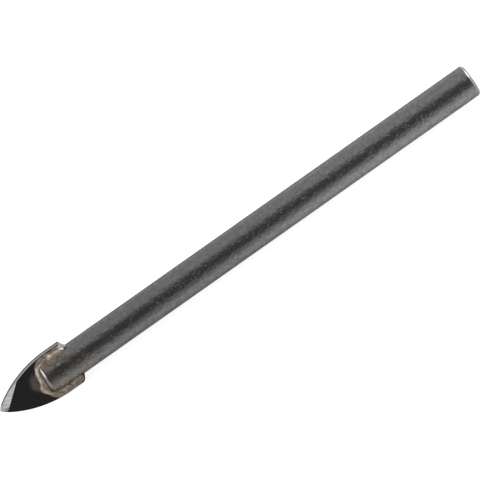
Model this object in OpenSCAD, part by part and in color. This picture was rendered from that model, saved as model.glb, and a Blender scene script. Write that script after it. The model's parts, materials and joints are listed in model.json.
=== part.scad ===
// Spear-point drill bit for glass and tile: a carbide plate brazed into a slotted round steel shank.
// The bit lies on the floor along X, point towards -X, rolled until the plate's lower corner touches.

/* [Shank] */
// Diameter of the round shank
shank_d = 4.4; // [3.6:0.1:5]
// Overall length, from the chisel edge at the point to the rear end
overall_l = 73; // [50:1:110]
// Chamfer on the rear end
rear_chamfer = 0.35; // [0.1:0.05:0.8]
// Distance from the plate's point back to the front end of the two cheeks
cheek_front = 7.05; // [6:0.05:9]
// Chamfer on the front rim of the cheeks
cheek_chamfer = 0.4; // [0.1:0.05:0.6]
// How far each cheek leans in at its front end, as a radius
cheek_lean = 0.07; // [0.02:0.01:0.15]

/* [Carbide plate] */
// Cutting diameter
cut_d = 6; // [5.4:0.1:8]
// Thickness of the plate
plate_t = 1.5; // [1:0.1:2]
// Length of the curved flanks, from the point to the full diameter
ogive_l = 9; // [7.5:0.25:12]
// Length of the straight margin behind the flanks, up to the rear corners
margin_l = 2.1; // [1:0.1:4]
// Radius of the plate's round rear edge
rear_r = 5.2; // [4.4:0.1:12]
// Rounding of the rear corner on the -Y side
round_corner_r = 0.9; // [0.2:0.05:1.2]
// Rounding of the rear corner on the +Y side, which was ground back further
sharp_corner_r = 0.2; // [0.1:0.05:1.2]
// Stock that grinding takes off each side of the pressed plate
grind_stock = 0.06; // [0.02:0.01:0.2]
// Relief angle behind the cutting edges
flank_relief = 2.5; // [1:0.5:8]

/* [Point] */
// Angle between the bit's axis and the edge where a point facet runs out on the plate's face
facet_trace = 40; // [34:1:48]
// Slope of a point facet against the plate's face
facet_slope = 40; // [30:1:55]
// How far the facets set the chisel edge back from the flanks' own meeting point
chisel_back = 0.1; // [0.05:0.05:0.4]

/* [Braze] */
// Thickness of the braze film between the plate and the slot
braze_film = 0.05; // [0.02:0.01:0.15]
// How far the bead reaches in front of the cheek
bead_w = 0.9; // [0.6:0.05:1.4]
// How much further forward the bead runs on the cutting side of its face
bead_skew = 0.4; // [0:0.05:0.6]
// Height of the bead over the plate's face
bead_h = 0.35; // [0.15:0.05:0.35]
// Radius of the bead's two front corners, seen square to the plate
bead_front_r = 1.2; // [0.6:0.05:1.4]
// Radius of the bead's two rear ends, seen square to the plate
bead_rear_r = 0.6; // [0.55:0.05:0.7]
// Rounding from the bead's foot up to its top
bead_round = 0.5; // [0.4:0.05:0.5]
// Bare rim between the bead and the cutting edge of its face
lead_rim = 0.05; // [0.02:0.01:0.3]
// Bare rim between the bead and the trailing edge of its face
trail_rim = 0.27; // [0.2:0.01:0.4]
// Bare rim between the bead and the plate's rear edge
rear_rim = 0.15; // [0.1:0.01:0.3]

/* [Hidden] */
$fn = 96;
// how far a cutting solid runs past what it cuts
over = 0.5;

shank_r = shank_d / 2;
shank_end = chisel_back + overall_l;
cut_r = cut_d / 2;
half_t = plate_t / 2;

// each flank is an arc from the point that runs out square at the full diameter
ogive_r = (pow(ogive_l, 2) + pow(cut_r, 2)) / cut_d;
relief_step = plate_t * tan(flank_relief);
relief_over = over * tan(flank_relief);

// the rear edge is one arc across the plate, which the slot's floor follows
rear_c = ogive_l + margin_l - sqrt(pow(rear_r, 2) - pow(cut_r, 2));
plate_end = rear_c + rear_r;
pressed_r = cut_r + grind_stock;
slot_floor = plate_end + braze_film;
slot_w = plate_t + 2 * braze_film;

cheek_front_r = shank_r - cheek_lean;

// bead on the upper face: +Y is its trailing side, and each corner is as far out as the rims allow
bead_steps = 4;
bead_foot = 0.05;
bead_front_sides = 32;
bead_rear_sides = 24;
function bead_cut(side) = side > 0 ? relief_step + trail_rim : lead_rim;
function bead_front(side) = cheek_front - bead_w + bead_front_r - (side < 0 ? bead_skew : 0);
function bead_front_y(side) = cut_r - ogive_r
    + sqrt(pow(ogive_r - bead_cut(side) - bead_front_r, 2) - pow(ogive_l - bead_front(side), 2));
function bead_rear_y(side) = cut_r - bead_cut(side) - bead_rear_r;
function bead_rear(side) = rear_c
    + sqrt(pow(rear_r - rear_rim - bead_rear_r, 2) - pow(bead_rear_y(side), 2));

// roll that brings the plate's lower trailing corner down to the floor under the shank
trail_y = cut_r - relief_step;
rest_roll = asin(shank_r / norm([trail_y, half_t])) - atan(half_t / trail_y);

module at_rest() {
    translate([-chisel_back - overall_l / 2, 0, shank_r])
        rotate([rest_roll, 0, 0])
            children();
}

// the part turned half round its own axis, onto the plate's other face
module both_faces() {
    children();
    rotate([180, 0, 0]) children();
}

// turned rod before slotting
module rod() {
    rotate([0, 90, 0])
        rotate_extrude()
            polygon([
                [0, cheek_front],
                [cheek_front_r - cheek_chamfer, cheek_front],
                [cheek_front_r, cheek_front + cheek_chamfer],
                [shank_r, slot_floor],
                [shank_r, shank_end - rear_chamfer],
                [shank_r - rear_chamfer, shank_end],
                [0, shank_end]
            ]);
}

// outline with a round rear end, grown by a margin behind and cut to a half width
module round_rear(half_w, grow) {
    intersection() {
        translate([-over, -half_w]) square([plate_end + 2 * over, 2 * half_w]);
        union() {
            translate([-over, -half_w]) square([rear_c + over, 2 * half_w]);
            translate([rear_c, 0]) circle(r = rear_r + grow);
        }
    }
}

module slot() {
    linear_extrude(slot_w, center = true)
        round_rear(shank_d, braze_film);
}

// what rounding takes off the +Y rear corner of the pressed plate
module corner_waste(r) {
    y = pressed_r - r;
    x = sqrt(pow(rear_r - r, 2) - pow(y, 2));
    to_side = [0, 1];
    to_rear = [x, y] / norm([x, y]);
    reach = 3 * r;
    translate([rear_c + x, y])
        difference() {
            polygon([[0, 0], reach * to_side, reach * (to_side + to_rear), reach * to_rear]);
            circle(r = r);
        }
}

// plate as pressed, before grinding
module pressed_plate() {
    linear_extrude(plate_t, center = true)
        difference() {
            round_rear(pressed_r, 0);
            corner_waste(sharp_corner_r);
            mirror([0, 1, 0]) corner_waste(round_corner_r);
        }
}

// all that the grinding of the +Y flank and its margin leaves, with its cutting edge on the lower face
module flank_ground() {
    translate([ogive_l, cut_r - ogive_r, -half_t - over])
        cylinder(
            h = plate_t + 2 * over,
            r1 = ogive_r + relief_over,
            r2 = ogive_r - relief_step - relief_over
        );
    translate([ogive_l, 0, 0])
        rotate([90, 0, 90])
            linear_extrude(margin_l + rear_r)
                polygon([
                    [-cut_d, -half_t - over],
                    [cut_r + relief_over, -half_t - over],
                    [cut_r - relief_step - relief_over, half_t + over],
                    [-cut_d, half_t + over]
                ]);
}

// half space that the +Y point facet grinds away on the upper face
module facet_waste() {
    translate([chisel_back, 0, 0])
        rotate([-facet_slope, 0, facet_trace])
            translate([-ogive_l, -ogive_l, 0])
                cube([2 * ogive_l, 2 * ogive_l, ogive_l]);
}

module plate() {
    difference() {
        intersection() {
            pressed_plate();
            flank_ground();
            rotate([180, 0, 0]) flank_ground();
        }
        both_faces() facet_waste();
    }
}

// braze bead on the upper face, standing on the plate round the foot of the cheek
module face_bead() {
    hull()
        for (k = [0 : bead_steps], side = [-1, 1]) {
            turn = 90 * k / bead_steps;
            inset = bead_round * (1 - cos(turn));
            rise = bead_h * sin(turn);
            translate([bead_front(side), side * bead_front_y(side), half_t - bead_foot])
                cylinder(r = bead_front_r - inset, h = bead_foot + rise, $fn = bead_front_sides);
            translate([bead_rear(side), side * bead_rear_y(side), half_t - bead_foot])
                cylinder(r = bead_rear_r - inset, h = bead_foot + rise, $fn = bead_rear_sides);
        }
}

module slotted_rod() {
    difference() {
        rod();
        slot();
    }
}

module filler() {
    difference() {
        union() {
            intersection() {
                rod();
                slot();
            }
            both_faces() face_bead();
        }
        slotted_rod();
        plate();
    }
}

module shank() {
    color("#6f6c6b") at_rest() slotted_rod();
}

module carbide_tip() {
    color("#2b2829") at_rest() plate();
}

module braze() {
    color("#a08471") at_rest() filler();
}

shank();
carbide_tip();
braze();
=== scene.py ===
from collections import Counter
import json
import math

import bpy
from mathutils import Matrix, Vector

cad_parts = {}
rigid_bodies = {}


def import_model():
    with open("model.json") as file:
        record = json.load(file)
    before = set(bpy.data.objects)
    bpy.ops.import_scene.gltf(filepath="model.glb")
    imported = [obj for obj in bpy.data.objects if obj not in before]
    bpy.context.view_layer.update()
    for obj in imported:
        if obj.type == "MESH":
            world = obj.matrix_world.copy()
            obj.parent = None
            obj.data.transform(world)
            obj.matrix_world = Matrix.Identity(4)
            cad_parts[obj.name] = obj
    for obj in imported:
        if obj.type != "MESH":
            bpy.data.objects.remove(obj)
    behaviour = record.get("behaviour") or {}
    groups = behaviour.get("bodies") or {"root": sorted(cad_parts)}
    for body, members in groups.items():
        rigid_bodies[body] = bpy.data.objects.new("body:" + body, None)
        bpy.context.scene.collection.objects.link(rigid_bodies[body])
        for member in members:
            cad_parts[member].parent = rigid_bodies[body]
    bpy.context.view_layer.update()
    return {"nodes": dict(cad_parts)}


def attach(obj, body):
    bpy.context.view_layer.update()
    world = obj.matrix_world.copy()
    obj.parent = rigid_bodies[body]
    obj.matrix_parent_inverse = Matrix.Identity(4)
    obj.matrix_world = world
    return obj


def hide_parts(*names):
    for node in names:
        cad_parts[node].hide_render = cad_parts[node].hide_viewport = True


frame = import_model()
print("frame loaded:", ", ".join(sorted(frame["nodes"])))

mm = 0.001  # the pieces are modelled in millimetres and laid down in metres
hairGap = 0.0001  # points closer than this are one
touch = 0.01  # slack when faces and edges are picked by their place
squareOn = 0.9  # how squarely a face looks along an axis to be picked
sharpAngle = math.radians(20)  # edges sharper than this are rounded

# sizes that the pieces share, in mm and degrees, measured back from where the two flanks would meet
bit = {
    "shankRadius": 2.2,
    "overallLength": 73.0,
    "pointBack": 0.1,
    "plateThick": 1.5,
    "cutRadius": 3.0,
    "ogiveLength": 9.0,
    "marginLength": 2.1,
    "rearRadius": 5.2,
    "rearSides": 256,
    "flankRelief": 2.5,
    "brazeFilm": 0.05,
}
halfThick = bit["plateThick"] / 2
ogiveRadius = (bit["ogiveLength"] ** 2 + bit["cutRadius"] ** 2) / (2 * bit["cutRadius"])
reliefSlope = math.tan(math.radians(bit["flankRelief"]))
cornerAt = bit["ogiveLength"] + bit["marginLength"]
rearCentre = cornerAt - math.sqrt(bit["rearRadius"] ** 2 - bit["cutRadius"] ** 2)
slotWidth = bit["plateThick"] + 2 * bit["brazeFilm"]
slotRadius = bit["rearRadius"] + bit["brazeFilm"]
slotFloor = rearCentre + slotRadius
shankEnd = bit["pointBack"] + bit["overallLength"]

# roll that brings the plate's trailing corner down to the floor
trailY = bit["cutRadius"] - bit["plateThick"] * reliefSlope
restRoll = math.asin(bit["shankRadius"] / math.hypot(trailY, halfThick)) - math.atan2(halfThick, trailY)


# small helpers for working by hand

def pick(piece):
    bpy.ops.object.select_all(action="DESELECT")
    piece.select_set(True)
    bpy.context.view_layer.objects.active = piece


def startEdit(piece, mode="FACE"):
    pick(piece)
    bpy.ops.object.mode_set(mode="EDIT")
    bpy.ops.mesh.select_mode(type=mode)
    bpy.ops.mesh.select_all(action="DESELECT")


def endEdit():
    bpy.ops.object.mode_set(mode="OBJECT")


def selectWhere(piece, kind, test):
    bpy.ops.mesh.select_all(action="DESELECT")
    endEdit()
    for item in getattr(piece.data, kind):
        item.select = test(item)
    bpy.ops.object.mode_set(mode="EDIT")


def selectEdges(piece, test):
    points = piece.data.vertices
    selectWhere(piece, "edges", lambda e: all(test(points[i].co) for i in e.vertices))


def place(piece):
    pick(piece)
    bpy.ops.object.transform_apply(location=True, rotation=True, scale=True)


def finishModifier(piece, kind, **settings):
    pick(piece)
    step = piece.modifiers.new(kind.lower(), kind)
    for key, value in settings.items():
        setattr(step, key, value)
    bpy.ops.object.modifier_apply(modifier=step.name)


def carve(piece, tool, how, keepTool=False, solver="EXACT"):
    finishModifier(piece, "BOOLEAN", operation=how, object=tool, solver=solver)
    if not keepTool:
        bpy.data.objects.remove(tool)


def copyOf(piece, name):
    twin = piece.copy()
    twin.data = piece.data.copy()
    twin.name = name
    bpy.context.collection.objects.link(twin)
    return twin


def cleanUp(piece, gap):
    startEdit(piece, "VERT")
    bpy.ops.mesh.select_all(action="SELECT")
    bpy.ops.mesh.remove_doubles(threshold=gap)
    bpy.ops.mesh.normals_make_consistent(inside=False)
    endEdit()


def layDown(piece):
    piece.scale = (mm, mm, mm)
    piece.rotation_euler = (restRoll, 0, 0)
    piece.location = (-(bit["pointBack"] + bit["overallLength"] / 2) * mm, 0, bit["shankRadius"] * mm)
    place(piece)


# where a place on the bench, in mm, comes to lie in metres
def laid(x, y=0.0, z=0.0):
    middle = bit["pointBack"] + bit["overallLength"] / 2
    acrossFloor = y * math.cos(restRoll) - z * math.sin(restRoll)
    overFloor = y * math.sin(restRoll) + z * math.cos(restRoll)
    return Vector((x - middle, acrossFloor, overFloor + bit["shankRadius"])) * mm


# small helpers for wiring finishes

def addNode(tree, kind, inputs=None, **settings):
    made = tree.nodes.new("ShaderNode" + kind)
    for key, value in settings.items():
        setattr(made, key, value)
    for key, value in (inputs or {}).items():
        if isinstance(value, bpy.types.NodeSocket):
            tree.links.new(value, made.inputs[key])
        else:
            made.inputs[key].default_value = value
    return made


def objectPlace(tree):
    return addNode(tree, "TexCoord").outputs["Object"]


def noise(tree, where, scale, detail, rough=0.5):
    settings = {"Vector": where, "Scale": scale, "Detail": detail, "Roughness": rough}
    return addNode(tree, "TexNoise", settings).outputs


def mapRange(tree, value, low, high, toLow, toHigh):
    ranges = {"Value": value, "From Min": low, "From Max": high, "To Min": toLow, "To Max": toHigh}
    return addNode(tree, "MapRange", ranges, interpolation_type="SMOOTHSTEP").outputs["Result"]


# soft step from one place to another, both in mm
def stepOver(tree, value, places, before, after):
    return mapRange(tree, value, places[0] * mm, places[1] * mm, before, after)


def calc(tree, first, second, operation="MULTIPLY"):
    return addNode(tree, "Math", {0: first, 1: second}, operation=operation).outputs[0]


def mixColour(tree, share, first, second, how="MIX"):
    mix = addNode(tree, "Mix", data_type="RGBA", blend_type=how)
    for socket, value in ((mix.inputs["Factor"], share), (mix.inputs[6], first), (mix.inputs[7], second)):
        if isinstance(value, bpy.types.NodeSocket):
            tree.links.new(value, socket)
        else:
            socket.default_value = value
    return mix.outputs[2]


def newGroup(name, inputs, outputs):
    tree = bpy.data.node_groups.new(name, "ShaderNodeTree")
    for label, kind, value in inputs:
        socket = tree.interface.new_socket(label, in_out="INPUT", socket_type="NodeSocket" + kind)
        socket.default_value = value
    for label in outputs:
        tree.interface.new_socket(label, in_out="OUTPUT", socket_type="NodeSocketFloat")
    return tree, tree.nodes.new("NodeGroupInput").outputs, tree.nodes.new("NodeGroupOutput").inputs


def useGroup(tree, group, **inputs):
    made = tree.nodes.new("ShaderNodeGroup")
    made.node_tree = group
    for key, value in inputs.items():
        made.inputs[key].default_value = value
    return made.outputs


def newFinish(name, metallic=1.0):
    finish = bpy.data.materials.new(name)
    finish.use_nodes = True
    tree = finish.node_tree
    shader = tree.nodes["Principled BSDF"]
    shader.inputs["Metallic"].default_value = metallic
    return finish, tree, shader


def wire(tree, shader, sockets):
    for key, value in sockets.items():
        tree.links.new(value, shader.inputs[key])


# depth is the bump's distance in metres and its strength
def addBump(tree, height, depth):
    settings = {"Height": height, "Distance": depth[0], "Strength": depth[1]}
    return addNode(tree, "Bump", settings).outputs["Normal"]


# blotches, soft dents and scattered pits, which all three metals have
mottleSpec = {
    "blotchDetail": 5.0,
    "blotchRough": 0.6,
    "blotchSpan": (0.3, 0.7),
    "dentFiner": 1.15,
    "dentDetail": 2.0,
    "pitFiner": 1.5,
    "pitRim": (0.08, 0.36),
    "pitShare": (0.35, 0.75),
}


def mottleGroup():
    m = mottleSpec
    group, given, out = newGroup("mottle", [("Scale", "Float", 2000.0), ("Pits", "Float", 0.5)],
                                 ["Shade", "Height"])
    where = objectPlace(group)
    blotch = noise(group, where, given["Scale"], m["blotchDetail"], m["blotchRough"])["Fac"]
    finer = calc(group, given["Scale"], m["dentFiner"])
    dents = noise(group, where, finer, m["dentDetail"])["Fac"]
    pock = addNode(group, "TexVoronoi", {"Vector": where, "Scale": calc(group, finer, m["pitFiner"])})
    hole = mapRange(group, pock.outputs["Distance"], *m["pitRim"], 1.0, 0.0)
    tone = addNode(group, "SeparateColor", {"Color": pock.outputs["Color"]}).outputs["Red"]
    pit = calc(group, hole, mapRange(group, tone, *m["pitShare"], 0.0, 1.0))
    level = calc(group, dents, calc(group, pit, given["Pits"]), "SUBTRACT")
    group.links.new(mapRange(group, blotch, *m["blotchSpan"], 0.0, 1.0), out["Shade"])
    group.links.new(level, out["Height"])
    return group


# masks with a ragged edge: along the bit, and round a place on it
maskSpec = {"alongDrift": 700.0, "spotDrift": 1500.0, "driftDetail": 3.0}


def raggedMask(group, given, out, where, reach, driftScale):
    drift = calc(group, noise(group, where, driftScale, maskSpec["driftDetail"])["Fac"], 0.5, "SUBTRACT")
    shift = addNode(group, "Math", {0: drift, 1: given["Ragged"], 2: reach}, operation="MULTIPLY_ADD")
    mask = mapRange(group, shift.outputs[0], given["Full"], given["Gone"], 1.0, 0.0)
    group.links.new(mask, out["Mask"])


def heatGroup():
    group, given, out = newGroup("heatTint", [("Full", "Float", 0.0), ("Gone", "Float", 0.001),
                                              ("Ragged", "Float", 0.001)], ["Mask"])
    where = objectPlace(group)
    along = addNode(group, "SeparateXYZ", {"Vector": where}).outputs["X"]
    raggedMask(group, given, out, where, along, maskSpec["alongDrift"])
    return group


def spotGroup():
    group, given, out = newGroup("spot", [("Centre", "Vector", (0, 0, 0)), ("Full", "Float", 0.0),
                                          ("Gone", "Float", 0.001), ("Ragged", "Float", 0.0005)], ["Mask"])
    where = objectPlace(group)
    away = addNode(group, "VectorMath", {0: where, 1: given["Centre"]}, operation="DISTANCE")
    raggedMask(group, given, out, where, away.outputs["Value"], maskSpec["spotDrift"])
    return group


grindSpec = {"detail": 4.0, "rough": 0.65, "span": (0.3, 0.7)}


def grindGroup():
    g = grindSpec
    group, given, out = newGroup("grindMarks", [("Turn", "Vector", (0, 0, 0)),
                                                ("Stretch", "Vector", (1, 1, 1))], ["Lines"])
    turned = addNode(group, "Mapping", {"Vector": objectPlace(group), "Rotation": given["Turn"]})
    drawn = addNode(group, "VectorMath", {0: turned.outputs["Vector"], 1: given["Stretch"]},
                    operation="MULTIPLY")
    lines = noise(group, drawn.outputs[0], 1.0, g["detail"], g["rough"])["Fac"]
    group.links.new(mapRange(group, lines, *g["span"], 0.0, 1.0), out["Lines"])
    return group


# places read square to the rolled plate: how far across it and how far off its middle, in metres
def plateGroup():
    group, _, out = newGroup("plateSides", [], ["Across", "Off"])
    fromAxis = addNode(group, "VectorMath", {0: objectPlace(group), 1: laid(0)}, operation="SUBTRACT")
    for label, side in (("Across", (0, math.cos(restRoll), math.sin(restRoll))),
                        ("Off", (0, -math.sin(restRoll), math.cos(restRoll)))):
        reach = addNode(group, "VectorMath", {0: fromAxis.outputs[0], 1: side}, operation="DOT_PRODUCT")
        group.links.new(reach.outputs["Value"], out[label])
    return group


mottle = mottleGroup()
heatTint = heatGroup()
grindMarks = grindGroup()
spot = spotGroup()
plateSides = plateGroup()


# an edge is (all there, all gone, raggedness), in mm
def tintAlong(tree, edge):
    full, gone, ragged = edge
    return useGroup(tree, heatTint, Full=laid(full).x, Gone=laid(gone).x, Ragged=ragged * mm)["Mask"]


def spotAt(tree, centre, edge):
    full, gone, ragged = (reach * mm for reach in edge)
    return useGroup(tree, spot, Centre=laid(*centre), Full=full, Gone=gone, Ragged=ragged)["Mask"]


# round-ended slab, which is the slot's waste and the film's start

def roundEndSlab(name, radius, thick, front):
    bpy.ops.object.select_all(action="DESELECT")
    bpy.ops.mesh.primitive_cylinder_add(vertices=bit["rearSides"], radius=radius, depth=thick,
                                        location=(rearCentre, 0, 0))
    slab = bpy.context.object
    slab.name = name
    place(slab)
    startEdit(slab)
    bpy.ops.mesh.select_all(action="SELECT")
    bpy.ops.mesh.bisect(plane_co=(rearCentre, 0, 0), plane_no=(1, 0, 0), use_fill=True, clear_inner=True)
    selectWhere(slab, "polygons", lambda f: f.normal.x < -squareOn)
    bpy.ops.mesh.extrude_region_move(TRANSFORM_OT_translate={"value": (front - rearCentre, 0, 0)})
    endEdit()
    cleanUp(slab, hairGap)
    return slab


shankSpec = {
    "sides": 160,
    "cheekFront": 6.90,
    "cheekChamfer": 0.34,
    "cheekLean": 0.07,
    "rearChamfer": 0.35,
    "rearCrown": 0.10,
    "wallRings": 130,
    "edgeRound": 0.05,
    "edgeSteps": 3,
    "slotFrom": -1.0,
    "wallFacing": 0.95,  # faces that look less straight out than this were cut
}


def turnRod():
    s = shankSpec
    frontR = bit["shankRadius"] - s["cheekLean"]
    wallEnd = shankEnd - s["rearChamfer"]
    wallStep = (wallEnd - slotFloor) / s["wallRings"]
    stations = [(s["cheekFront"] + s["cheekChamfer"], frontR), (slotFloor, bit["shankRadius"])]
    stations += [(slotFloor + wallStep * (k + 1), bit["shankRadius"]) for k in range(s["wallRings"])]
    stations += [(shankEnd - s["rearChamfer"] / 2, bit["shankRadius"] - s["rearCrown"])]
    stations += [(shankEnd, bit["shankRadius"] - s["rearChamfer"])]
    z = s["cheekFront"]
    r = frontR - s["cheekChamfer"]
    bpy.ops.object.select_all(action="DESELECT")
    bpy.ops.mesh.primitive_circle_add(vertices=s["sides"], radius=r, fill_type="NGON", location=(0, 0, z))
    rod = bpy.context.object
    rod.name = "shankRod"
    place(rod)
    startEdit(rod)
    bpy.ops.mesh.select_all(action="SELECT")
    for nextZ, nextR in stations:
        bpy.ops.mesh.extrude_region_move(TRANSFORM_OT_translate={"value": (0, 0, nextZ - z)})
        bpy.ops.transform.resize(value=(nextR / r, nextR / r, 1), center_override=(0, 0, nextZ))
        z, r = nextZ, nextR
    endEdit()
    rod.rotation_euler = (0, math.pi / 2, 0)
    place(rod)
    cleanUp(rod, hairGap)
    finishModifier(rod, "BEVEL", width=s["edgeRound"], segments=s["edgeSteps"], limit_method="ANGLE",
                   angle_limit=sharpAngle)
    return rod


rod = turnRod()
shank = copyOf(rod, "shankBody")
carve(shank, roundEndSlab("slotWaste", slotRadius, slotWidth, shankSpec["slotFrom"]), "DIFFERENCE")
print("shank turned and slotted:", len(shank.data.polygons), "faces")


tipSpec = {
    "grindStock": 0.06,
    "blankFront": -0.5,
    "roundCorner": 0.9,
    "roundSteps": 12,
    "sharpCorner": 0.2,
    "sharpSteps": 6,
    "rearSteps": 96,
    "facetTrace": 40.0,
    "facetSlope": 40.0,
    "edgeRound": 0.02,
    "edgeSteps": 2,
    "stoneSides": 1024,
    "stoneOver": 1.0,
    "weld": 0.004,
    "faceFacing": 0.97,  # faces that look less straight up or down than this were ground
    "pressedFrom": 0.6,  # the rear edge was left as pressed: how far ahead of the corners it starts
    "pressedFacing": 0.15,
}


def cornerFit(radius):
    y = bit["cutRadius"] + tipSpec["grindStock"] - radius
    x = math.sqrt((bit["rearRadius"] - radius) ** 2 - y ** 2)
    return x, y, math.atan2(x, y)


def spinOn(angle, centre, steps):
    bpy.ops.mesh.spin(steps=steps, angle=angle, center=(centre[0], centre[1], 0), axis=(0, 0, 1))


def pressPlate():
    t = tipSpec
    half = bit["cutRadius"] + t["grindStock"]
    sharpX, sharpY, sharpTurn = cornerFit(t["sharpCorner"])
    roundX, roundY, roundTurn = cornerFit(t["roundCorner"])
    front = t["blankFront"]
    wallEnd = rearCentre + sharpX
    bpy.ops.object.select_all(action="DESELECT")
    bpy.ops.mesh.primitive_plane_add(size=1, location=((front + wallEnd) / 2, half, 0),
                                     rotation=(math.pi / 2, 0, 0))
    plate = bpy.context.object
    plate.name = "carbidePlate"
    plate.scale = (wallEnd - front, bit["plateThick"], 1)
    place(plate)
    startEdit(plate, "EDGE")
    selectEdges(plate, lambda v: v.x > wallEnd - touch)
    spinOn(sharpTurn, (wallEnd, sharpY), t["sharpSteps"])
    spinOn(math.pi - sharpTurn - roundTurn, (rearCentre, 0), t["rearSteps"])
    spinOn(roundTurn, (rearCentre + roundX, -roundY), t["roundSteps"])
    bpy.ops.mesh.extrude_region_move(TRANSFORM_OT_translate={"value": (front - rearCentre - roundX, 0, 0)})
    for isEdge in (lambda v: v.x < front + touch, lambda v: v.z > 0, lambda v: v.z < 0):
        selectEdges(plate, isEdge)
        bpy.ops.mesh.edge_face_add()
    endEdit()
    cleanUp(plate, hairGap)
    return plate


def flankStone(turn, inset=0.0):
    deep = bit["plateThick"] + tipSpec["stoneOver"]
    lean = deep / 2 * reliefSlope
    middle = ogiveRadius - halfThick * reliefSlope - inset
    widest = bit["ogiveLength"]
    bpy.ops.object.select_all(action="DESELECT")
    bpy.ops.mesh.primitive_cone_add(vertices=tipSpec["stoneSides"], depth=deep,
                                    radius1=middle + lean, radius2=middle - lean,
                                    location=(widest, bit["cutRadius"] - ogiveRadius, 0))
    stone = bpy.context.object
    stone.name = "flankStone"
    place(stone)
    startEdit(stone)
    bpy.ops.mesh.select_all(action="SELECT")
    bpy.ops.mesh.bisect(plane_co=(widest, 0, 0), plane_no=(1, 0, 0), use_fill=True, clear_outer=True)
    selectWhere(stone, "polygons", lambda f: f.normal.x > squareOn and f.center.x > widest - touch)
    bpy.ops.mesh.extrude_region_move(TRANSFORM_OT_translate={"value": (bit["rearRadius"] * 2, 0, 0)})
    endEdit()
    cleanUp(stone, hairGap)
    stone.rotation_euler = (turn, 0, 0)
    place(stone)
    return stone


def grindFacet(plate, side):
    slope = math.radians(tipSpec["facetSlope"])
    trace = math.radians(tipSpec["facetTrace"])
    normal = (-math.sin(slope) * math.sin(trace),
              side * math.sin(slope) * math.cos(trace),
              side * math.cos(slope))
    startEdit(plate)
    bpy.ops.mesh.select_all(action="SELECT")
    bpy.ops.mesh.bisect(plane_co=(bit["pointBack"], 0, 0), plane_no=normal, use_fill=True, clear_outer=True)
    endEdit()


tip = pressPlate()
carve(tip, flankStone(0), "INTERSECT")
carve(tip, flankStone(math.pi), "INTERSECT")
grindFacet(tip, 1)
grindFacet(tip, -1)
cleanUp(tip, tipSpec["weld"])
print("carbide tip ground:", len(tip.data.polygons), "faces")

# braze round the foot of each cheek: points are (back from the tip, across, half width) in mm
brazeSpec = {
    "nearSkirt": [
        (11.3, 2.32, 0.20), (11.0, 2.30, 0.48), (10.2, 2.26, 0.57), (9.0, 2.26, 0.58), (8.1, 2.25, 0.60),
        (7.5, 2.14, 0.63), (7.04, 1.66, 0.58), (6.86, 0.95, 0.54), (6.74, 0.20, 0.56), (6.60, -0.40, 0.60),
        (6.36, -0.90, 0.66), (6.76, -1.46, 0.56), (7.18, -2.10, 0.66), (7.9, -2.36, 0.64), (8.7, -2.38, 0.64),
        (9.6, -2.38, 0.64), (10.5, -2.38, 0.62), (11.12, -2.22, 0.47), (11.45, -1.95, 0.20),
    ],
    "nearRidge": [
        (7.6, 2.00, 0.10), (6.96, 1.82, 0.38), (6.76, 1.36, 0.46), (6.70, 0.84, 0.43), (6.62, 0.40, 0.38),
        (6.52, 0.00, 0.40), (6.40, -0.48, 0.42), (6.26, -0.92, 0.44), (6.54, -1.44, 0.42), (7.1, -1.90, 0.34),
        (7.9, -2.12, 0.10),
    ],
    "farSkirt": [
        (11.2, 2.16, 0.24), (10.8, 2.18, 0.50), (9.8, 2.20, 0.54), (8.6, 2.14, 0.54), (7.5, 1.90, 0.54),
        (6.92, 1.40, 0.60), (6.66, 0.70, 0.60), (6.70, 0.00, 0.56), (6.62, -0.70, 0.62), (6.84, -1.40, 0.56),
        (7.5, -2.04, 0.62), (8.6, -2.32, 0.64), (9.9, -2.34, 0.62), (10.9, -2.22, 0.50), (11.4, -2.00, 0.20),
    ],
    "farRidge": [
        (7.5, 1.90, 0.10), (6.90, 1.58, 0.34), (6.62, 1.10, 0.42), (6.55, 0.52, 0.32), (6.55, -0.10, 0.42),
        (6.58, -0.80, 0.36), (6.78, -1.40, 0.38), (7.3, -1.90, 0.28), (7.9, -2.08, 0.10),
    ],
    "nearCorner": [
        (10.85, 2.80, 0.10), (11.06, 2.70, 0.24), (11.26, 2.46, 0.28), (11.42, 2.18, 0.24),
        (11.5, 1.95, 0.12),
    ],
    "upperFillet": [
        (11.2, 1.96, 0.22), (10.7, 1.98, 0.46), (9.8, 1.98, 0.54), (8.8, 1.97, 0.50), (8.0, 1.93, 0.50),
        (7.3, 1.82, 0.36), (6.95, 1.66, 0.16),
    ],
    "lowerFillet": [
        (7.3, -1.85, 0.16), (7.9, -2.02, 0.42), (8.8, -2.06, 0.50), (9.8, -2.06, 0.50), (10.6, -2.04, 0.48),
        (11.1, -1.98, 0.22),
    ],
    "fill": [
        (7.0, 1.50, 0.12), (6.88, 1.10, 0.34), (6.82, 0.55, 0.38), (6.76, 0.00, 0.38), (6.70, -0.50, 0.38),
        (6.72, -1.00, 0.36), (6.95, -1.50, 0.12),
    ],
    "skirt": {"widen": 1.2, "flatten": 0.46, "sink": 0.19},
    "ridge": {"widen": 0.95, "flatten": 0.85, "sink": 0.05},
    "corner": {"widen": 1.0, "flatten": 0.46, "sink": 0.03},
    "fillet": {"widen": 1.0, "flatten": 0.76, "sink": 0.05},
    "pathOrder": 3,
    "pathSteps": 8,
    "roundSteps": 5,
    "shoulders": [(11.52, 2.08, 0.22), (11.52, -2.06, 0.20)],
    "shoulderSides": (24, 16),
    "shoulderStretch": 1.2,
    "groundBack": 0.08,
    "weld": 0.001,
    "filmOver": 0.06,
    "filmShrink": 0.995,
    "voxel": 0.04,
    "smooth": {"factor": 0.5, "iterations": 7},
    "lumps": {"size": 0.85, "height": 0.12, "depth": 1},
    "ripple": {"size": 0.20, "height": 0.055, "depth": 2},
}


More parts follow.
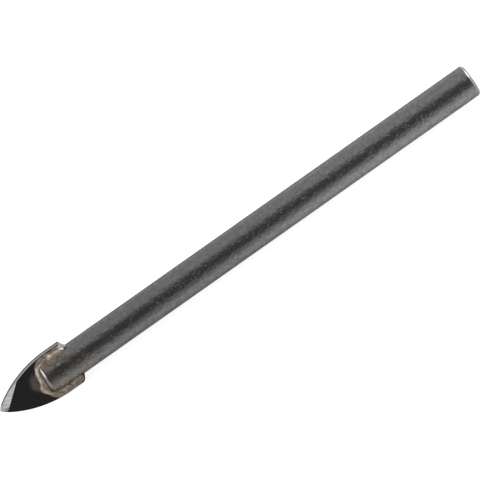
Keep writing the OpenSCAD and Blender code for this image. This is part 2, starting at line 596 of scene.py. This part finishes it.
def layBead(points, turn, widen, flatten, sink):
    bpy.ops.object.select_all(action="DESELECT")
    bpy.ops.curve.primitive_nurbs_path_add()
    bead = bpy.context.object
    path = bead.data.splines[0]
    path.points.add(len(points) - len(path.points))
    for knot, (x, y, radius) in zip(path.points, points):
        knot.co = (x, y, 0, 1)
        knot.radius = radius * widen
    path.order_u = brazeSpec["pathOrder"]
    path.use_endpoint_u = True
    path.resolution_u = brazeSpec["pathSteps"]
    bead.data.bevel_depth = 1.0
    bead.data.bevel_resolution = brazeSpec["roundSteps"]
    bead.data.use_fill_caps = True
    pick(bead)
    bpy.ops.object.convert(target="MESH")
    bead = bpy.context.object
    bead.scale.z = flatten
    bead.location.z = halfThick - sink
    place(bead)
    bead.rotation_euler.x = turn
    place(bead)
    return bead


def shoulderLump(x, y, radius):
    segments, rings = brazeSpec["shoulderSides"]
    bpy.ops.object.select_all(action="DESELECT")
    bpy.ops.mesh.primitive_uv_sphere_add(segments=segments, ring_count=rings, radius=radius,
                                         location=(x, y, 0))
    lump = bpy.context.object
    lump.scale = (brazeSpec["shoulderStretch"], 1, slotWidth / 2 / radius)
    place(lump)
    return lump


def lumpy(piece, size, height, depth):
    cloud = bpy.data.textures.new("brazeLumps", "CLOUDS")
    cloud.noise_scale = size
    cloud.noise_depth = depth
    finishModifier(piece, "DISPLACE", texture=cloud, texture_coords="LOCAL", strength=height, mid_level=0.5)


def joinTo(piece, others):
    pick(piece)
    for other in others:
        other.select_set(True)
    bpy.ops.object.join()


# drops the crumbs beside the main body and the flaps along its feathered edges
def keepMain(piece):
    largest = max(piece.data.polygons, key=lambda f: f.area).index
    startEdit(piece)
    selectWhere(piece, "polygons", lambda f: f.index == largest)
    bpy.ops.mesh.select_linked()
    bpy.ops.mesh.select_all(action="INVERT")
    bpy.ops.mesh.delete(type="FACE")
    endEdit()
    cleanUp(piece, brazeSpec["weld"])
    startEdit(piece)
    bpy.ops.mesh.select_all(action="SELECT")
    bpy.ops.mesh.quads_convert_to_tris()
    endEdit()
    twins = Counter(frozenset(face.vertices) for face in piece.data.polygons)
    uses = Counter(key for face in piece.data.polygons for key in face.edge_keys)
    startEdit(piece)
    selectWhere(piece, "polygons", lambda f: twins[frozenset(f.vertices)] > 1
                or any(uses[key] == 1 for key in f.edge_keys))
    bpy.ops.mesh.delete(type="FACE")
    endEdit()


def makeBraze():
    b = brazeSpec
    braze = layBead(b["nearSkirt"], 0, **b["skirt"])
    more = [layBead(b["nearRidge"], 0, **b["ridge"])]
    more.append(layBead(b["nearCorner"], 0, **b["corner"]))
    more.append(layBead(b["farSkirt"], math.pi, **b["skirt"]))
    for turn in (0, math.pi):
        more += [layBead(b[side], turn, **b["fillet"]) for side in ("upperFillet", "lowerFillet")]
        more.append(layBead(b["fill"], turn, **b["ridge"]))
    more.append(layBead(b["farRidge"], math.pi, **b["ridge"]))
    more += [shoulderLump(*lump) for lump in b["shoulders"]]
    joinTo(braze, more)
    braze.name = "brazeBeads"
    finishModifier(braze, "REMESH", mode="VOXEL", voxel_size=b["voxel"])
    finishModifier(braze, "SMOOTH", **b["smooth"])
    lumpy(braze, **b["lumps"])
    lumpy(braze, **b["ripple"])
    # the film in the slot starts too big, and the shank and the plate cut it to the gap between them
    over = b["filmOver"]
    film = roundEndSlab("slotFilm", slotRadius + over, slotWidth + 2 * over, shankSpec["cheekFront"] + over)
    wall = copyOf(rod, "filmWall")
    wall.scale = (1, b["filmShrink"], b["filmShrink"])
    place(wall)
    carve(film, wall, "INTERSECT", solver="MANIFOLD")
    carve(braze, film, "UNION", solver="MANIFOLD")
    for turn in (0, math.pi):  # the flanks are ground with the braze on them
        carve(braze, flankStone(turn, b["groundBack"]), "INTERSECT", solver="MANIFOLD")
    for tool in (shank, tip):
        carve(braze, tool, "DIFFERENCE", keepTool=True, solver="MANIFOLD")
    keepMain(braze)
    return braze


braze = makeBraze()
print("braze laid:", len(braze.data.polygons), "faces")

finishModifier(tip, "BEVEL", width=tipSpec["edgeRound"], segments=tipSpec["edgeSteps"], limit_method="ANGLE",
               angle_limit=sharpAngle, use_clamp_overlap=False)

# steel rod: tumbled dark skin, with brighter metal where it was cut; places are mm back from the tip
shankFinish = {
    "dark": (0.155, 0.150, 0.150, 1),
    "light": (0.214, 0.208, 0.207, 1),
    "edge": (0.46, 0.46, 0.46, 1),
    "grain": 2100.0,
    "pits": 0.40,
    "rough": (0.34, 0.27),
    "dent": (0.000070, 1.0),
    "dull": (0.86, 0.86, 0.85, 1),
    "dullAlong": (18.0, 60.0, 6.0),
    # painted shade: the lower side of the shank is darker towards the point
    "under": (0.84, 0.84, 0.84, 1),
    "underAlong": (34.0, 54.0, 8.0),
    "underAcross": (-0.8, 0.5),
    "olive": (0.97, 0.965, 0.92, 1),
    "oliveAlong": (8.6, 14.6, 8.0),
    "brown": (1.00, 0.93, 0.88, 1),
    "brownAlong": (7.1, 9.0, 4.0),
    "wash": (0.235, 0.200, 0.155, 1),
    "washAlong": (10.6, 11.6, 1.0),
    "washOff": (1.10, 1.60),
    "washRagged": 0.3,
    "washShare": 0.8,
    "fluxDents": 1300.0,
    "fluxDetail": 2.0,
    "fluxHeight": 1.6,
    "fluxAlong": (9.0, 15.0, 6.0),
    "fleck": (0.30, 0.295, 0.275, 1),
    "fleckAt": (9.8, 1.5, 1.5),
    "fleckReach": (0.8, 2.6, 1.0),
    "fleckSpan": (0.55, 0.68),
    "fleckShare": 0.6,
    "shade": (0.78, 0.78, 0.76, 1),
    "shadeAt": (9.4, 1.6, 1.45),
    "shadeReach": (0.6, 2.2, 0.8),
    "cutDark": (0.20, 0.19, 0.19, 1),
    "cutLight": (0.36, 0.35, 0.35, 1),
    "cutEdge": (0.55, 0.55, 0.55, 1),
    "cutRings": (26000.0, 900.0, 900.0),
    "cutRough": (0.36, 0.26),
    "cutDepth": (0.000004, 0.5),
    # painted highlight: lighter metal on the upper part of the cheek's front chamfer
    "chamferHighlight": (0.78, 0.755, 0.73, 1),
    "chamferHighlightAt": (7.1, 1.1, 1.6),
    "chamferHighlightReach": (0.40, 1.10, 0.4),
    "chamferHighlightAlong": (7.17, 7.07, 0.0),
    "front": (0.70, 0.67, 0.64, 1),
    "frontAlong": (9.0, 12.0, 0.0),
    # painted highlight: a lighter line on the upper side, where the wall meets the rear chamfer
    "rim": (0.72, 0.71, 0.70, 1),
    "rimAt": (72.8, 1.7, 1.4),
    "rimReach": (1.6, 2.7, 0.4),
    "rimAlong": (72.79, 72.85, 0.0),
}


def shankSkin():
    f = shankFinish
    finish, tree, shader = newFinish("shankSkin")
    shader.inputs["Specular Tint"].default_value = f["edge"]
    skin = useGroup(tree, mottle, Scale=f["grain"], Pits=f["pits"])
    sides = useGroup(tree, plateSides)
    colour = mixColour(tree, skin["Shade"], f["dark"], f["light"])
    colour = mixColour(tree, tintAlong(tree, f["dullAlong"]), colour, f["dull"], "MULTIPLY")
    # painted shade: the lower side is darker from the point back to 34 mm, fading out by 54 mm
    under = stepOver(tree, sides["Across"], f["underAcross"], 1.0, 0.0)
    under = calc(tree, under, tintAlong(tree, f["underAlong"]))
    colour = mixColour(tree, under, colour, f["under"], "MULTIPLY")
    colour = mixColour(tree, tintAlong(tree, f["oliveAlong"]), colour, f["olive"], "MULTIPLY")
    colour = mixColour(tree, tintAlong(tree, f["brownAlong"]), colour, f["brown"], "MULTIPLY")
    colour = mixColour(tree, spotAt(tree, f["shadeAt"], f["shadeReach"]), colour, f["shade"], "MULTIPLY")
    # coarser dents and pale flecks left by the flux near the tip
    blister = noise(tree, objectPlace(tree), f["fluxDents"], f["fluxDetail"])["Fac"]
    fleck = mapRange(tree, blister, *f["fleckSpan"], 0.0, f["fleckShare"])
    fleck = calc(tree, fleck, spotAt(tree, f["fleckAt"], f["fleckReach"]))
    colour = mixColour(tree, fleck, colour, f["fleck"])
    blister = calc(tree, blister, tintAlong(tree, f["fluxAlong"]))
    height = calc(tree, skin["Height"], calc(tree, blister, f["fluxHeight"]), "ADD")
    # braze that has crept up the foot of the cheeks
    offPlate = calc(tree, sides["Off"], 1.0, "ABSOLUTE")
    ragged = f["washRagged"] * mm
    wobble = mapRange(tree, skin["Shade"], 0.0, 1.0, ragged, -ragged)
    creep = stepOver(tree, calc(tree, offPlate, wobble, "ADD"), f["washOff"], f["washShare"], 0.0)
    creep = calc(tree, creep, tintAlong(tree, f["washAlong"]))
    wire(tree, shader, {
        "Base Color": mixColour(tree, creep, colour, f["wash"]),
        "Roughness": mapRange(tree, skin["Shade"], 0.0, 1.0, *f["rough"]),
        "Normal": addBump(tree, height, f["dent"]),
    })
    return finish


def shankCut():
    f = shankFinish
    finish, tree, shader = newFinish("shankCut")
    shader.inputs["Specular Tint"].default_value = f["cutEdge"]
    rings = useGroup(tree, grindMarks, Stretch=f["cutRings"])
    colour = mixColour(tree, rings["Lines"], f["cutDark"], f["cutLight"])
    colour = mixColour(tree, tintAlong(tree, f["frontAlong"]), colour, f["front"], "MULTIPLY")
    # painted highlights: lighter metal on the upper part of the cheek chamfer and along the upper edge of the
    # rear chamfer
    for highlight in ("chamferHighlight", "rim"):
        edge = calc(tree, spotAt(tree, f[highlight + "At"], f[highlight + "Reach"]), tintAlong(tree, f[highlight + "Along"]))
        colour = mixColour(tree, edge, colour, f[highlight])
    wire(tree, shader, {
        "Base Color": colour,
        "Roughness": mapRange(tree, rings["Lines"], 0.0, 1.0, *f["cutRough"]),
        "Normal": addBump(tree, rings["Lines"], f["cutDepth"]),
    })
    return finish


# carbide: dark pressed faces, bright ground edges
tipFinish = {
    "dark": (0.060, 0.058, 0.058, 1),
    "light": (0.094, 0.090, 0.090, 1),
    "grain": 3600.0,
    "pits": 0.3,
    "rough": (0.34, 0.24),
    "dent": (0.000004, 0.4),
    "scorch": (0.375, 0.300, 0.285, 1),
    "scorchAt": (6.25, 0.30, 0.75),
    "scorchReach": (0.70, 1.55, 0.5),
    "maroon": (0.105, 0.072, 0.064, 1),
    "maroonAt": (6.2, -1.72, 0.75),
    "maroonReach": (0.30, 0.75, 0.4),
    "smear": (0.72, 0.68, 0.64, 1),
    "smearAt": (11.2, 2.62, 0.7),
    "smearReach": (0.35, 0.65, 0.3),
    "groundDark": (0.25, 0.246, 0.247, 1),
    "groundLight": (0.38, 0.373, 0.374, 1),
    "groundEdge": (0.42, 0.42, 0.42, 1),
    "groundTurn": (0.56, 0.0, 0.9),
    "groundStretch": (1200.0, 16000.0, 1200.0),
    "groundRough": (0.38, 0.26),
    "groundDepth": (0.000004, 0.5),
    # painted shade on the lower flank
    "lowFlankShade": (0.34, 0.34, 0.35, 1),
    "lowFlankShadeSpan": (-0.0000002, 0.0000001),
}


def carbidePressed():
    f = tipFinish
    finish, tree, shader = newFinish("carbidePressed")
    skin = useGroup(tree, mottle, Scale=f["grain"], Pits=f["pits"])
    colour = mixColour(tree, skin["Shade"], f["dark"], f["light"])
    for burn in ("scorch", "maroon", "smear"):
        colour = mixColour(tree, spotAt(tree, f[burn + "At"], f[burn + "Reach"]), colour, f[burn])
    wire(tree, shader, {
        "Base Color": colour,
        "Roughness": mapRange(tree, skin["Shade"], 0.0, 1.0, *f["rough"]),
        "Normal": addBump(tree, skin["Height"], f["dent"]),
    })
    return finish


def carbideGround():
    f = tipFinish
    finish, tree, shader = newFinish("carbideGround")
    shader.inputs["Specular Tint"].default_value = f["groundEdge"]
    marks = useGroup(tree, grindMarks, Turn=f["groundTurn"], Stretch=f["groundStretch"])
    sides = useGroup(tree, plateSides)
    colour = mixColour(tree, marks["Lines"], f["groundDark"], f["groundLight"])
    # painted shade: the ground flank on the lower side, which faces the floor, is darkened
    lowFlankShade = mapRange(tree, calc(tree, sides["Across"], sides["Off"]), *f["lowFlankShadeSpan"], 1.0, 0.0)
    wire(tree, shader, {
        "Base Color": mixColour(tree, lowFlankShade, colour, f["lowFlankShade"], "MULTIPLY"),
        "Roughness": mapRange(tree, marks["Lines"], 0.0, 1.0, *f["groundRough"]),
        "Normal": addBump(tree, marks["Lines"], f["groundDepth"]),
    })
    return finish


# braze: copper pink and beige, crests paler as a painted highlight on beige braze, olive and brown flux
# stains in the hollows with painted shade in the groove
brazeFinish = {
    "metal": 0.40,
    "grain": 5200.0,
    "pits": 0.6,
    "rough": (0.48, 0.26),
    "dent": (0.000016, 0.6),
    "brown": (0.220, 0.165, 0.130, 1),
    "brownAt": (7.95, 2.2, 1.0),
    "brownReach": (0.25, 0.75, 0.5),
    "brownShare": 0.8,
    "patch": 1300.0,
    "patchDetail": 4.0,
    "copper": (0.510, 0.408, 0.340, 1),
    "copperSpan": (0.36, 0.50),
    "beige": (0.775, 0.700, 0.615, 1),
    "beigeSpan": (0.50, 0.64),
    "crestAt": (6.5, 0.5, 0.95),
    "crestReach": (0.85, 1.60, 0.6),
    "crestShare": 0.55,
    "stain": 800.0,
    "stainDetail": 3.0,
    "olive": (0.520, 0.470, 0.330, 1),
    "oliveSpan": (0.52, 0.66),
    "oliveStain": 0.8,
    "oliveAt": (6.6, -1.6, 0.8),
    "oliveReach": (0.5, 1.2, 0.8),
    "oliveShare": 0.85,
    "groove": (0.150, 0.105, 0.070, 1),
    "grooveAlong": (6.82, 6.90, 6.98),
    "grooveAcross": (1.4, 1.8),
    "grooveShare": 0.8,
    "lowerSideDarker": (0.58, 0.555, 0.545, 1),
    "lowerSideDarkerAcross": (-2.0, -1.5),
    "crack": (0.060, 0.045, 0.035, 1),
    "crackCells": 1900.0,
    "crackWander": 4500.0,
    "crackDetail": 2.0,
    "crackSway": (0.0005, 0.0005, 0.0005),
    "crackWidth": (0.01, 0.08),
    "crackSpan": (0.44, 0.56),
    "crackShare": 0.9,
    "rim": (0.190, 0.140, 0.120, 1),
    "rimOff": (0.78, 0.94),
    "rimShare": 0.8,
    "creep": (0.350, 0.318, 0.250, 1),
    "creepOff": (1.04, 1.20),
    "creepShare": 0.85,
    "pale": (0.72, 0.69, 0.65, 1),
    "paleAt": (11.2, 2.6, 0.85),
    "paleReach": (0.40, 0.70, 0.4),
}


def brazeMetal():
    f = brazeFinish
    finish, tree, shader = newFinish("brazeMetal", f["metal"])
    where = objectPlace(tree)
    skin = useGroup(tree, mottle, Scale=f["grain"], Pits=f["pits"])
    sides = useGroup(tree, plateSides)
    across = calc(tree, sides["Across"], 1.0, "ABSOLUTE")
    off = calc(tree, sides["Off"], 1.0, "ABSOLUTE")
    patch = noise(tree, where, f["patch"], f["patchDetail"])["Fac"]
    stain = noise(tree, where, f["stain"], f["stainDetail"])["Fac"]
    colour = mixColour(tree, mapRange(tree, patch, *f["copperSpan"], 0.0, 1.0), f["brown"], f["copper"])
    colour = mixColour(tree, mapRange(tree, patch, *f["beigeSpan"], 0.0, 1.0), colour, f["beige"])
    # the front bead's crest is paler: beige braze, partly a painted highlight
    crest = calc(tree, spotAt(tree, f["crestAt"], f["crestReach"]), f["crestShare"])
    colour = mixColour(tree, crest, colour, f["beige"])
    brown = calc(tree, spotAt(tree, f["brownAt"], f["brownReach"]), f["brownShare"])
    colour = mixColour(tree, brown, colour, f["brown"])
    olive = calc(tree, mapRange(tree, stain, *f["oliveSpan"], 0.0, f["oliveStain"]),
                 spotAt(tree, f["oliveAt"], f["oliveReach"]), "MAXIMUM")
    colour = mixColour(tree, calc(tree, olive, f["oliveShare"]), colour, f["olive"])
    # dark brown line in the groove where the cheek ends: brown flux, partly painted shade in the crease
    before, deepest, after = (laid(back).x for back in f["grooveAlong"])
    along = addNode(tree, "SeparateXYZ", {"Vector": where}).outputs["X"]
    groove = calc(tree, mapRange(tree, along, before, deepest, 0.0, 1.0),
                  mapRange(tree, along, deepest, after, 1.0, 0.0))
    groove = calc(tree, groove, stepOver(tree, across, f["grooveAcross"], f["grooveShare"], 0.0))
    colour = mixColour(tree, groove, colour, f["groove"])
    # darker on the lower side
    lowerSideDarker = stepOver(tree, sides["Across"], f["lowerSideDarkerAcross"], 1.0, 0.0)
    colour = mixColour(tree, lowerSideDarker, colour, f["lowerSideDarker"], "MULTIPLY")
    # a few crooked shrinkage cracks
    wander = noise(tree, where, f["crackWander"], f["crackDetail"])["Color"]
    crooked = addNode(tree, "VectorMath", {0: wander, 1: f["crackSway"], 2: where}, operation="MULTIPLY_ADD")
    cells = addNode(tree, "TexVoronoi", {"Vector": crooked.outputs[0], "Scale": f["crackCells"]},
                    feature="DISTANCE_TO_EDGE")
    crack = calc(tree, mapRange(tree, cells.outputs["Distance"], *f["crackWidth"], 1.0, 0.0),
                 mapRange(tree, stain, *f["crackSpan"], f["crackShare"], 0.0))
    colour = mixColour(tree, crack, colour, f["crack"])
    # browner and darker at the low outer edge of each bead: thin braze at its edge, partly painted shade that
    # keeps the lamp-lit rim dark
    colour = mixColour(tree, stepOver(tree, off, f["rimOff"], f["rimShare"], 0.0), colour, f["rim"])
    colour = mixColour(tree, stepOver(tree, off, f["creepOff"], 0.0, f["creepShare"]), colour, f["creep"])
    wire(tree, shader, {
        "Base Color": mixColour(tree, spotAt(tree, f["paleAt"], f["paleReach"]), colour, f["pale"]),
        "Roughness": mapRange(tree, skin["Shade"], 0.0, 1.0, *f["rough"]),
        "Normal": addBump(tree, skin["Height"], f["dent"]),
    })
    return finish


def paint(piece, plain, cut, isCut):
    for finish in (plain, cut):
        piece.data.materials.append(finish)
    for face in piece.data.polygons:
        face.material_index = int(isCut(face))


def shankFaceIsCut(face):
    radial = Vector((0, face.center.y, face.center.z)).normalized()
    return face.normal.dot(radial) < shankSpec["wallFacing"]


def tipFaceIsGround(face):
    nearRear = face.center.x > cornerAt - tipSpec["pressedFrom"]
    pressedRear = nearRear and face.normal.x > tipSpec["pressedFacing"]
    return abs(face.normal.z) < tipSpec["faceFacing"] and not pressedRear


for piece in (shank, tip, braze):
    piece.data.materials.clear()
paint(shank, shankSkin(), shankCut(), shankFaceIsCut)
paint(tip, carbidePressed(), carbideGround(), tipFaceIsGround)
braze.data.materials.append(brazeMetal())

# piece, the node that it stands in for, its material slot, and the angle up to which it is smooth
dressed = (
    (shank, "shank", "shank_steel", 30),
    (tip, "carbide_tip", "carbide", 30),
    (braze, "braze", "braze_metal", 60),
)
for piece, name, slot, smoothAngle in dressed:
    pick(piece)
    bpy.ops.object.shade_smooth_by_angle(angle=math.radians(smoothAngle))
    layDown(piece)
    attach(piece, "root")
    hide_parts(name)
finishModifier(tip, "WEIGHTED_NORMAL", keep_sharp=True)
bpy.data.objects.remove(rod)
print("pieces finished and laid down")


cameraSpec = {
    "fromVertical": 21.65,  # lean of the view towards -Y
    "towardsPoint": 4.0,    # lean of the view towards the bit's point
    "axisSlope": 35.17,     # how steeply the bit's axis rises in the picture
    "pixelsPerMetre": 7930,
    "pointPixel": (-0.03, 411.36),
    "distance": 2.0,
    "nearest": 0.01,
    "picture": 480,
    "sensor": 36.0,
}


def setCamera():
    c = cameraSpec
    lean = math.radians(c["fromVertical"])
    tilt = math.radians(c["towardsPoint"])
    slope = math.radians(c["axisSlope"])
    along = Vector((1, 0, 0))
    back = Vector((0, -math.sin(lean), math.cos(lean))) * math.cos(tilt) - along * math.sin(tilt)
    axisInPicture = (along - back * along.dot(back)).normalized()
    acrossPicture = back.cross(axisInPicture)
    right = axisInPicture * math.cos(slope) - acrossPicture * math.sin(slope)
    up = axisInPicture * math.sin(slope) + acrossPicture * math.cos(slope)
    point = Vector((-bit["overallLength"] / 2, 0, bit["shankRadius"])) * mm
    half = c["picture"] / 2
    toRight = (half - c["pointPixel"][0]) / c["pixelsPerMetre"]
    toTop = (c["pointPixel"][1] - half) / c["pixelsPerMetre"]
    eye = point + right * toRight + up * toTop + back * c["distance"]
    bpy.ops.object.select_all(action="DESELECT")
    bpy.ops.object.camera_add(location=eye)
    camera = bpy.context.object
    camera.matrix_world = Matrix((
        (right.x, up.x, back.x, eye.x),
        (right.y, up.y, back.y, eye.y),
        (right.z, up.z, back.z, eye.z),
        (0, 0, 0, 1),
    ))
    camera.data.sensor_fit = "HORIZONTAL"
    camera.data.sensor_width = c["sensor"]
    camera.data.lens = c["distance"] * c["pixelsPerMetre"] * c["sensor"] / c["picture"]
    camera.data.clip_start = c["nearest"]
    bpy.context.scene.camera = camera


setCamera()

floorSpec = {
    "size": 4.0,
    "colour": (0.80, 0.80, 0.80, 1),
    "paler": (0.82, 0.82, 0.82, 1),
    "cloud": 40.0,
    "cloudDetail": 2.0,
    "cloudSpan": (0.3, 0.7),
    "rough": 0.9,
    "seenGlow": 0.76,
}


def setFloor():
    f = floorSpec
    finish, tree, shader = newFinish("paleFloor", 0.0)
    shader.inputs["Roughness"].default_value = f["rough"]
    shader.inputs["Specular IOR Level"].default_value = 0.0
    shader.inputs["Emission Color"].default_value = (1, 1, 1, 1)
    cloud = noise(tree, objectPlace(tree), f["cloud"], f["cloudDetail"])["Fac"]
    soft = mapRange(tree, cloud, *f["cloudSpan"], 0.0, 1.0)
    path = addNode(tree, "LightPath").outputs
    seen = calc(tree, path["Is Camera Ray"], path["Is Glossy Ray"], "MAXIMUM")
    seen = calc(tree, seen, path["Is Transmission Ray"], "MAXIMUM")
    wire(tree, shader, {
        "Base Color": mixColour(tree, soft, f["colour"], f["paler"]),
        "Emission Strength": calc(tree, seen, f["seenGlow"]),
    })
    bpy.ops.object.select_all(action="DESELECT")
    bpy.ops.mesh.primitive_plane_add(size=f["size"])
    floor = bpy.context.object
    floor.name = "floor"
    floor.data.materials.append(finish)


setFloor()

# pale room with a dark card above, behind the camera, and two large soft lamps
roomSpec = {
    "cardToward": (0.0, -0.454, 0.891),
    "cardInner": 19.0,
    "cardOuter": 46.0,
    "cardLevel": 0.13,
    "wallLevel": 0.86,
}
lampSpec = {
    "pointLamp": {"toward": (-0.78, 0.42, 0.46), "away": 0.55, "size": 0.34, "power": 0.36},
    "rearLamp": {"toward": (0.80, 0.36, 0.36), "away": 0.55, "size": 0.30, "power": 1.00},
}


def setRoom():
    r = roomSpec
    world = bpy.data.worlds.new("studio")
    bpy.context.scene.world = world
    world.use_nodes = True
    tree = world.node_tree
    toward = addNode(tree, "TexCoord").outputs["Generated"]
    facing = addNode(tree, "VectorMath", {0: toward, 1: r["cardToward"]}, operation="DOT_PRODUCT")
    outer = math.cos(math.radians(r["cardOuter"]))
    inner = math.cos(math.radians(r["cardInner"]))
    level = mapRange(tree, facing.outputs["Value"], outer, inner, r["wallLevel"], r["cardLevel"])
    tree.links.new(level, tree.nodes["Background"].inputs["Color"])


def hangLamp(name, toward, away, size, power):
    hook = Vector(toward).normalized() * away
    bpy.ops.object.select_all(action="DESELECT")
    bpy.ops.object.light_add(type="AREA", location=hook, rotation=hook.to_track_quat("Z", "Y").to_euler())
    lamp = bpy.context.object
    lamp.name = name
    lamp.data.size = size
    lamp.data.energy = power


setRoom()
for name, spec in lampSpec.items():
    hangLamp(name, **spec)
bpy.context.scene.view_settings.view_transform = "Standard"
print("room, floor and lamps set")
